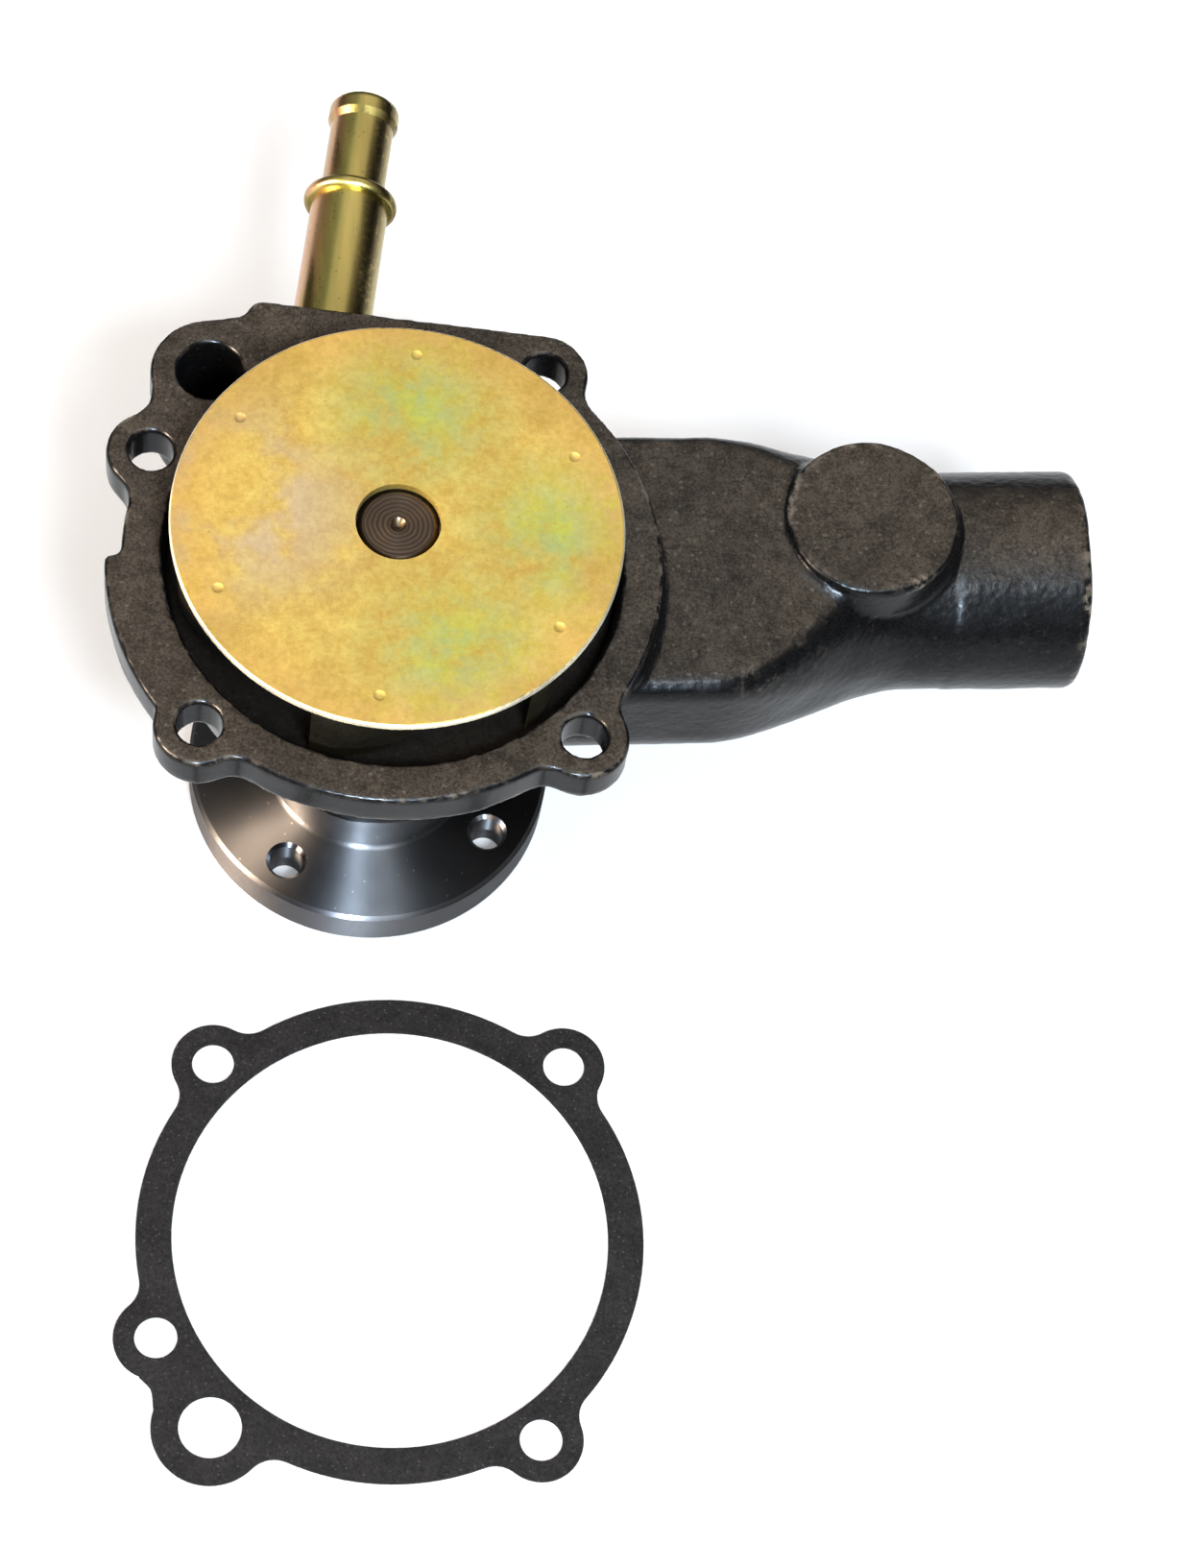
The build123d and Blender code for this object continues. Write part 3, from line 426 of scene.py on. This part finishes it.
def hub_steel():
    """Turned steel with a glossy black finish."""
    s = Shader("hub_black_steel", Metallic=1.0, Anisotropic=0.95, Anisotropic_Rotation=0.25)
    s.turned()
    clouds = s.noise(16 * MM, 3)
    fine = s.noise(0.7 * MM, 3, 0.7)
    rim = s.remap(s.radius(), *HUB_RIM_R)
    color = s.mix(clouds, (0.055, 0.055, 0.058), (0.090, 0.088, 0.088))
    color = s.mix(s.math("MULTIPLY", s.specks(2.6 * MM, 0.12), 0.4), color, (0.35, 0.31, 0.28))
    side = s.mix(fine, (0.040, 0.040, 0.043), (0.085, 0.080, 0.078))
    color = s.mix(rim, color, side)
    rough = s.math("ADD", s.remap(clouds, 0.3, 0.7, 0.34, 0.40), s.math("MULTIPLY", fine, 0.04))
    return s.finish(color, rough, s.bump(fine, 0.01 * MM, 0.4))


def turned_steel(name, dark, light, roughness):
    """Ground or turned bare steel with rings about the shaft."""
    s = Shader(name, Metallic=1.0, Anisotropic=0.5, Anisotropic_Rotation=0.25)
    s.turned()
    clouds = s.noise(6 * MM, 4)
    rings = s.remap(s.rings(0.9 * MM, 1.1), -1, 1)
    color = s.mix(s.math("MULTIPLY", rings, s.remap(clouds, 0.25, 0.75, 0.2, 0.6)), dark, light)
    color = s.mix(s.remap(s.radius(), *SHAFT_CENTRE_R), color, (0.06, 0.042, 0.024))
    fine = s.noise(0.5 * MM, 3)
    rough = s.math("MULTIPLY_ADD", fine, 0.14, roughness)
    rough = s.math("ADD", rough, s.remap(s.radius(), *SHAFT_DIMPLE_R, 0, 0.4), clamp=True)
    return s.finish(color, rough, s.bump(s.math("MULTIPLY_ADD", rings, 0.3, fine), 0.02 * MM, 0.4))


def plain_finish(name, dark, light, roughness, size, height, **fixed):
    """Material of the small inner parts: two tones of mottling and a fine relief."""
    s = Shader(name, **fixed)
    clouds = s.noise(size, 4, 0.6)
    fine = s.noise(size / 6, 3, 0.6, shift=2.0)
    color = s.mix(s.remap(clouds, 0.3, 0.7), dark, light)
    rough = s.remap(fine, 0.3, 0.7, roughness - 0.06, roughness + 0.06)
    return s.finish(color, rough, s.bump(fine, height, 0.6))


def yellow_zinc():
    """Stamped plate in yellow chromate zinc, with soft patches of green, orange and silver."""
    s = Shader("yellow_zinc_plate", Metallic=0.85)
    drift = s.noise(13 * MM, 3)
    mottle = s.noise(4 * MM, 5, 0.7, shift=1.0)
    fine = s.noise(0.6 * MM, 3, 0.6, shift=4.0)
    grit = s.noise(1.1 * MM, 4, 0.7, shift=6.0)
    tone = s.math("MULTIPLY_ADD", grit, 0.3, s.math("MULTIPLY", mottle, 0.7))
    gold = s.mix(s.remap(tone, 0.33, 0.67), (0.43, 0.275, 0.060), (0.52, 0.390, 0.100))
    green = s.blob(*GREEN_PATCHES[0])
    for patch in GREEN_PATCHES[1:]:
        green = s.math("MAXIMUM", green, s.blob(*patch))
    green = s.math("MULTIPLY", green, s.remap(s.math("MULTIPLY_ADD", mottle, 0.5, drift), 0.50, 0.85))
    greens = s.mix(s.remap(mottle, 0.4, 0.6), (0.35, 0.36, 0.065), (0.30, 0.345, 0.12))
    color = s.mix(green, gold, greens)
    silver = s.math("MULTIPLY", s.blob(*SILVER_PATCH), s.remap(drift, 0.62, 0.40))
    color = s.mix(s.math("MULTIPLY", silver, 0.75), color, (0.50, 0.40, 0.30))
    orange = s.math("MULTIPLY", s.remap(s.radius(), *DISC_BLUSH_R), s.remap(mottle, 0.34, 0.6))
    color = s.mix(s.math("MULTIPLY", orange, 0.5), color, (0.48, 0.26, 0.075))
    dots = s.math("MULTIPLY", s.specks(3.1 * MM, 0.10), s.remap(drift, 0.4, 0.6, 0.05, 0.5))
    color = s.mix(dots, color, (0.27, 0.19, 0.08))
    color = s.tinted(color, s.remap(grit, 0.3, 0.7, 0.94, 1.08))
    # Painted highlight: a cream band painted along the disc's outer edge.
    rim = s.remap(s.radius(), *DISC_EDGE_HIGHLIGHT_R)
    color = s.mix(s.math("MULTIPLY", rim, 0.7), color, (0.92, 0.86, 0.68))
    rough = s.math("ADD", s.remap(drift, 0.3, 0.7, 0.34, 0.46), s.math("MULTIPLY", fine, 0.08))
    return s.finish(color, rough, s.bump(s.math("MULTIPLY_ADD", mottle, 2.0, fine), 0.03 * MM, 0.5))


def olive_zinc():
    """Turned nipple in olive dichromate: lengthwise iridescent bands, dark specks and tints painted by
    which way the surface faces, with a painted rose reflection on the left.
    """
    s = Shader("olive_zinc_plate", Metallic=1.0)
    long = s.stretched(1.0, 0.12, 1.0)
    bands = s.noise(4.5 * MM, 3, 0.5, place=long)
    mottle = s.noise(1.2 * MM, 4, 0.65, shift=2.0)
    # Tints painted by which way the surface faces: a painted rose reflection on the left-facing side,
    # olive-green beside it, darker brown on the right-facing side.
    turn = s.split(s.normal)[0]
    color = s.mix(s.remap(bands, 0.3, 0.7), (0.28, 0.215, 0.065), (0.42, 0.33, 0.105))
    rose_reflection = s.math("MULTIPLY", s.remap(turn, -0.35, -0.85), s.remap(bands, 0.30, 0.55))
    color = s.mix(s.math("MULTIPLY", rose_reflection, 0.7), color, (0.50, 0.27, 0.19))
    green = s.math("MULTIPLY", s.remap(turn, -0.6, -0.25), s.remap(turn, 0.05, -0.2))
    color = s.mix(s.math("MULTIPLY", green, 0.6), color, (0.25, 0.24, 0.070))
    brown = s.math("MULTIPLY", s.remap(turn, 0.3, 0.6), s.remap(turn, 0.98, 0.8))
    brown = s.math("MULTIPLY", brown, s.remap(mottle, 0.30, 0.52))
    color = s.mix(s.math("MULTIPLY", brown, 0.8), color, (0.085, 0.060, 0.030))
    color = s.mix(s.math("MULTIPLY", s.specks(1.6 * MM, 0.18), 0.6), color, (0.10, 0.07, 0.03))
    rough = s.math("ADD", s.remap(bands, 0.3, 0.7, 0.20, 0.30), s.math("MULTIPLY", mottle, 0.06))
    return s.finish(color, rough, s.bump(mottle, 0.02 * MM, 0.5))


def painted_shade_zinc():
    """The vanes' yellow plating painted nearly black as painted shade, since no vane shows in the gap under
    the disc.
    """
    s = Shader("yellow_zinc_painted_shade", Metallic=0.3, Specular_IOR_Level=0.1)
    drift = s.noise(9 * MM, 3)
    fine = s.noise(0.7 * MM, 4, 0.6)
    # Painted shade: nearly black tones in place of the yellow zinc.
    color = s.mix(s.remap(drift, 0.3, 0.7), (0.010, 0.008, 0.004), (0.022, 0.017, 0.008))
    rough = s.remap(fine, 0.3, 0.7, 0.46, 0.6)
    return s.finish(color, rough, s.bump(fine, 0.05 * MM, 0.5))


def gasket_fibre():
    """Matt charcoal fibre sheet, flecked, with crisp cut edges."""
    s = Shader("gasket_fibre", Metallic=0.0, IOR=1.45, Specular_IOR_Level=0.05)
    clouds = s.noise(9 * MM, 4)
    fibre = s.noise(0.55 * MM, 4, 0.75)
    color = s.mix(s.remap(fibre, 0.3, 0.7), (0.010, 0.0092, 0.0092), (0.034, 0.031, 0.031))
    color = s.tinted(color, s.remap(clouds, 0.3, 0.7, 0.85, 1.2))
    color = s.mix(s.math("MULTIPLY", s.specks(1.3 * MM, 0.2), 0.55), color, (0.105, 0.095, 0.09))
    rough = s.remap(fibre, 0.3, 0.7, 0.62, 0.8)
    return s.finish(color, rough, s.bump(fibre, 0.08 * MM, 0.7))


def dress(material, *names):
    """Give CAD nodes a material on their objects."""
    for name in names:
        for slot in NODES[name].material_slots:
            slot.link = "OBJECT"
            slot.material = material


def soften_edges(width, *names):
    """Rounded, light-catching edges on machined CAD nodes."""
    for name in names:
        bevel = NODES[name].modifiers.new("edges", "BEVEL")
        bevel.width = width
        bevel.segments = 2
        bevel.limit_method = "ANGLE"
        bevel.angle_limit = radians(40)
        bevel.harden_normals = True


DIELECTRIC = dict(Metallic=0.0, IOR=1.5)
METAL = dict(Metallic=1.0)
housing.data.materials.append(cast_iron())
dress(hub_steel(), "pulley_hub")
shaft_steel = turned_steel("shaft_steel", (0.045, 0.032, 0.024), (0.13, 0.095, 0.065), 0.28)
dress(shaft_steel, "bearing_shaft")
bearing_steel = turned_steel("bearing_steel", (0.42, 0.41, 0.40), (0.60, 0.59, 0.57), 0.26)
dress(bearing_steel, "bearing_outer_race", "impeller_hub")
dress(yellow_zinc(), "impeller_disc")
dress(painted_shade_zinc(), "impeller_vanes")
dress(olive_zinc(), "heater_nipple")
dress(gasket_fibre(), "block_gasket")

# Name, dark and light tones, roughness, size of the mottling, depth of the relief, kind, nodes.
INNER_PARTS = (
    ("ball_steel", (0.58, 0.58, 0.58), (0.70, 0.70, 0.70), 0.12, 2 * MM, 0.004 * MM, METAL,
     ("front_bearing_balls", "rear_bearing_balls")),
    ("cage_plastic", (0.52, 0.44, 0.30), (0.62, 0.54, 0.38), 0.48, 4 * MM, 0.02 * MM, DIELECTRIC,
     ("front_ball_cage", "rear_ball_cage")),
    ("seal_rubber", (0.012, 0.012, 0.013), (0.028, 0.027, 0.027), 0.62, 3 * MM, 0.04 * MM, DIELECTRIC,
     ("front_grease_seal", "rear_grease_seal", "shaft_slinger", "seal_bellows", "mating_ring_boot")),
    ("cup_brass", (0.48, 0.31, 0.09), (0.66, 0.46, 0.16), 0.3, 5 * MM, 0.02 * MM, METAL,
     ("seal_cup", "seal_retainer")),
    ("spring_steel", (0.34, 0.33, 0.32), (0.50, 0.49, 0.47), 0.3, 2 * MM, 0.01 * MM, METAL,
     ("seal_spring",)),
    ("seal_carbon", (0.020, 0.020, 0.022), (0.045, 0.045, 0.048), 0.4, 1.5 * MM, 0.02 * MM, DIELECTRIC,
     ("seal_carbon_ring",)),
    ("seal_ceramic", (0.72, 0.70, 0.64), (0.82, 0.80, 0.75), 0.25, 4 * MM, 0.005 * MM, DIELECTRIC,
     ("mating_ring",)),
)
for name, dark, light, roughness, size, height, kind, nodes in INNER_PARTS:
    dress(plain_finish(name, dark, light, roughness, size, height, **kind), *nodes)
SHAFT_EDGE = 0.3 * MM
soften_edges(SHAFT_EDGE, "bearing_shaft")

# ---- Camera: fitted to the flange, hub, disc, pipe and gasket together ----
CAMERA_LENS = 91.94
CAMERA_SENSOR = 36
CAMERA_AT = Vector((-0.05824, -0.36859, 0.77003))
CAMERA_FORWARD = Vector((0.1236, 0.4259, -0.8963))
CAMERA_RIGHT = Vector((0.9922, -0.0685, 0.1043))

camera = bpy.data.cameras.new("camera")
camera.lens = CAMERA_LENS
camera.sensor_width = CAMERA_SENSOR
forward = CAMERA_FORWARD.normalized()
right = (CAMERA_RIGHT - forward * CAMERA_RIGHT.dot(forward)).normalized()
turn = Matrix((right, right.cross(forward), -forward)).transposed().to_4x4()
viewer = bpy.data.objects.new("camera", camera)
viewer.matrix_world = Matrix.Translation(CAMERA_AT) @ turn
bpy.context.scene.collection.objects.link(viewer)
bpy.context.scene.camera = viewer

# ---- Floor and lights ----
FLOOR_REACH = 6
FLOOR_CORNERS = ((-1, -1), (1, -1), (1, 1), (-1, 1))
SHEET_REACH = 0.45  # beyond this, reflections see a dark floor
SHEET_FADE = 1.4
floor_mesh = bpy.data.meshes.new("floor")
corners = [(x * FLOOR_REACH, y * FLOOR_REACH, 0) for x, y in FLOOR_CORNERS]
floor_mesh.from_pydata(corners, [], [(0, 1, 2, 3)])
floor = bpy.data.objects.new("floor", floor_mesh)
bpy.context.scene.collection.objects.link(floor)
paper = Shader("floor_paper", Roughness=0.9, Emission_Strength=0.2)
paper.bsdf.inputs["Emission Color"].default_value = (1, 1, 1, 1)
paper.bsdf.inputs["Specular IOR Level"].default_value = 0.1
paper_tone = paper.mix(paper.noise(0.2, 2), (0.86, 0.86, 0.86), (0.89, 0.89, 0.89))
floor_mesh.materials.append(paper.finish(paper_tone, 0.9))
dim = paper.node("BsdfDiffuse", None, Color=(0.02, 0.02, 0.02, 1)).outputs[0]
rays = paper.node("LightPath").outputs["Is Glossy Ray"]
far = paper.remap(paper.radius(), SHEET_REACH, SHEET_REACH * SHEET_FADE)
floor_mix = paper.node("MixShader")
for socket, value in zip(floor_mix.inputs, (paper.math("MULTIPLY", rays, far), paper.bsdf.outputs[0], dim)):
    paper.feed(socket, value)
paper.feed(paper.tree.nodes["Material Output"].inputs["Surface"], floor_mix.outputs[0])


def area_light(name, at, to, size, power, color, gloss_only=False):
    """Soft square lamp aimed at a point and unseen by the camera; gloss_only lights reflections alone."""
    lamp = bpy.data.lights.new(name, "AREA")
    lamp.size = size
    lamp.energy = power
    lamp.color = color
    fixture = bpy.data.objects.new(name, lamp)
    fixture.location = at
    fixture.rotation_euler = (Vector(at) - Vector(to)).to_track_quat("Z", "Y").to_euler()
    fixture.visible_camera = False
    fixture.visible_diffuse = not gloss_only
    bpy.context.scene.collection.objects.link(fixture)


TARGET = (0.03, 0.0, 0.05)
area_light("key", (0.14, -0.62, 1.02), TARGET, 0.24, 13.0, (0.80, 0.90, 1.0))
area_light("streak", (-0.12, -0.80, 0.62), TARGET, 0.05, 50.0, (0.66, 0.82, 1.0), gloss_only=True)
area_light("tan", (-0.85, -0.30, 0.55), TARGET, 0.35, 70.0, (1.0, 0.78, 0.58), gloss_only=True)
area_light("ceiling", (0.20, 0.60, 1.20), TARGET, 1.2, 3.6, (1.0, 0.95, 0.90))
area_light("left", (-0.95, -0.15, 0.60), TARGET, 0.5, 6.0, (1.0, 0.82, 0.66))

# The sky is pale to the camera. Everything else sees it dark at the horizon and brighter overhead.
SKY_COLOR = (0.95, 0.97, 1.0, 1)
SKY_SEEN = 0.9
SKY_SHADE = {"From Min": 0.05, "From Max": 0.95, "To Min": 0.03, "To Max": 0.6}
world = bpy.data.worlds.new("world")
world.use_nodes = True
sky = world.node_tree
ray = sky.nodes.new("ShaderNodeTexCoord")
direction = sky.nodes.new("ShaderNodeSeparateXYZ")
sky.links.new(ray.outputs["Generated"], direction.inputs[0])
shade = sky.nodes.new("ShaderNodeMapRange")
shade.interpolation_type = "SMOOTHSTEP"
sky.links.new(direction.outputs[2], shade.inputs["Value"])
for socket, value in SKY_SHADE.items():
    shade.inputs[socket].default_value = value
sky.links.new(shade.outputs[0], sky.nodes["Background"].inputs["Strength"])
seen = sky.nodes.new("ShaderNodeBackground")
seen.inputs["Strength"].default_value = SKY_SEEN
path = sky.nodes.new("ShaderNodeLightPath")
sky_mix = sky.nodes.new("ShaderNodeMixShader")
sky.links.new(path.outputs["Is Camera Ray"], sky_mix.inputs[0])
sky.links.new(sky.nodes["Background"].outputs[0], sky_mix.inputs[1])
sky.links.new(seen.outputs[0], sky_mix.inputs[2])
sky.links.new(sky_mix.outputs[0], sky.nodes["World Output"].inputs["Surface"])
for background in (sky.nodes["Background"], seen):
    background.inputs["Color"].default_value = SKY_COLOR
bpy.context.scene.world = world
bpy.context.scene.view_settings.view_transform = "Standard"
